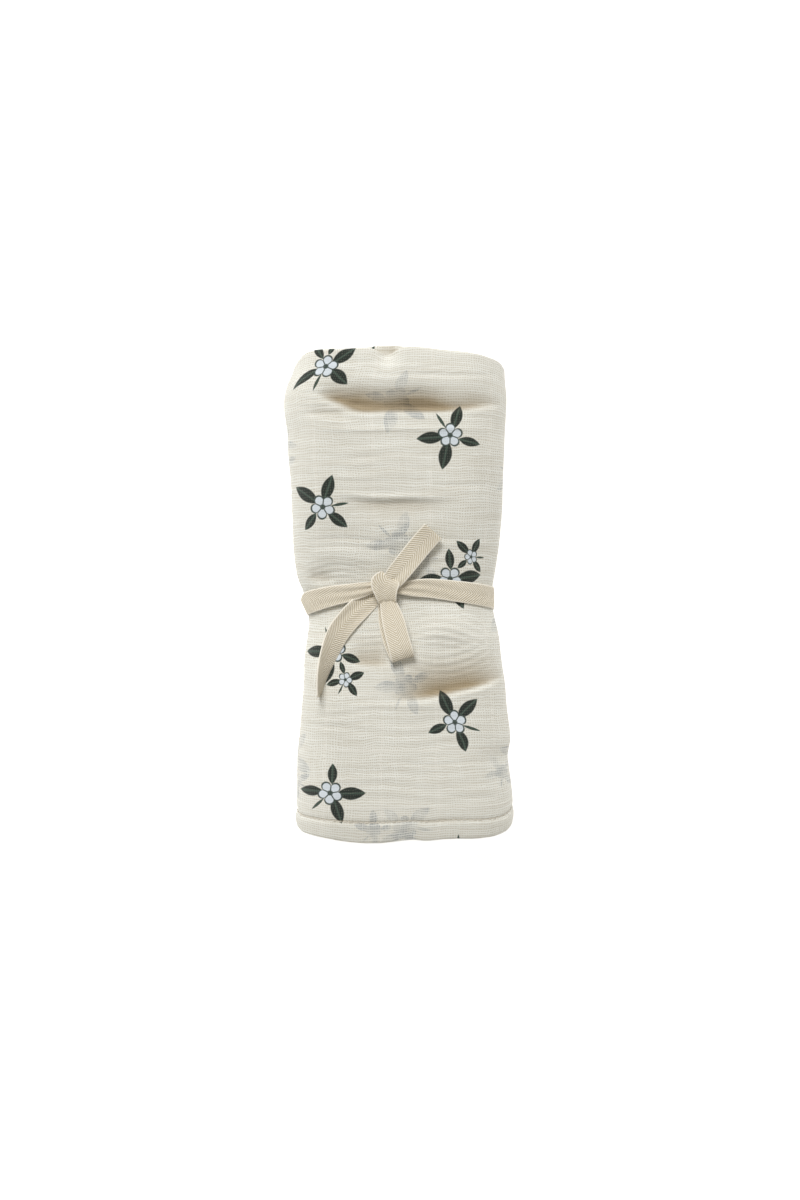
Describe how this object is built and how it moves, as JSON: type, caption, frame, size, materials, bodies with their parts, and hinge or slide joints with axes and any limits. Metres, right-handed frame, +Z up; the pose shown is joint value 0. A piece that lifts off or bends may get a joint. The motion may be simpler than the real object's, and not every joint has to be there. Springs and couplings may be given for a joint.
{
  "type": "swaddle blanket, rolled and tied",
  "caption": "Square cotton muslin swaddle blanket, folded in quarters, rolled flat and tied round the middle with a twill tape in a half bow.",
  "frame": {"origin": "middle of the object's box, on the surface that it rests on", "axes": "+Y along the roll from its hem end to its folded end, +X to the right of the tie, +Z up"},
  "size_m": [0.1298, 0.279, 0.0581],
  "materials": {
    "muslin": "open double gauze cotton, matt cream, printed in dark green and pale ice blue",
    "twill_tape": "herringbone twill cotton tape, matt natural cream"
  },
  "bodies": {
    "root": {"blanket": "muslin", "tie_tape": "twill_tape"}
  },
  "joints": []
}
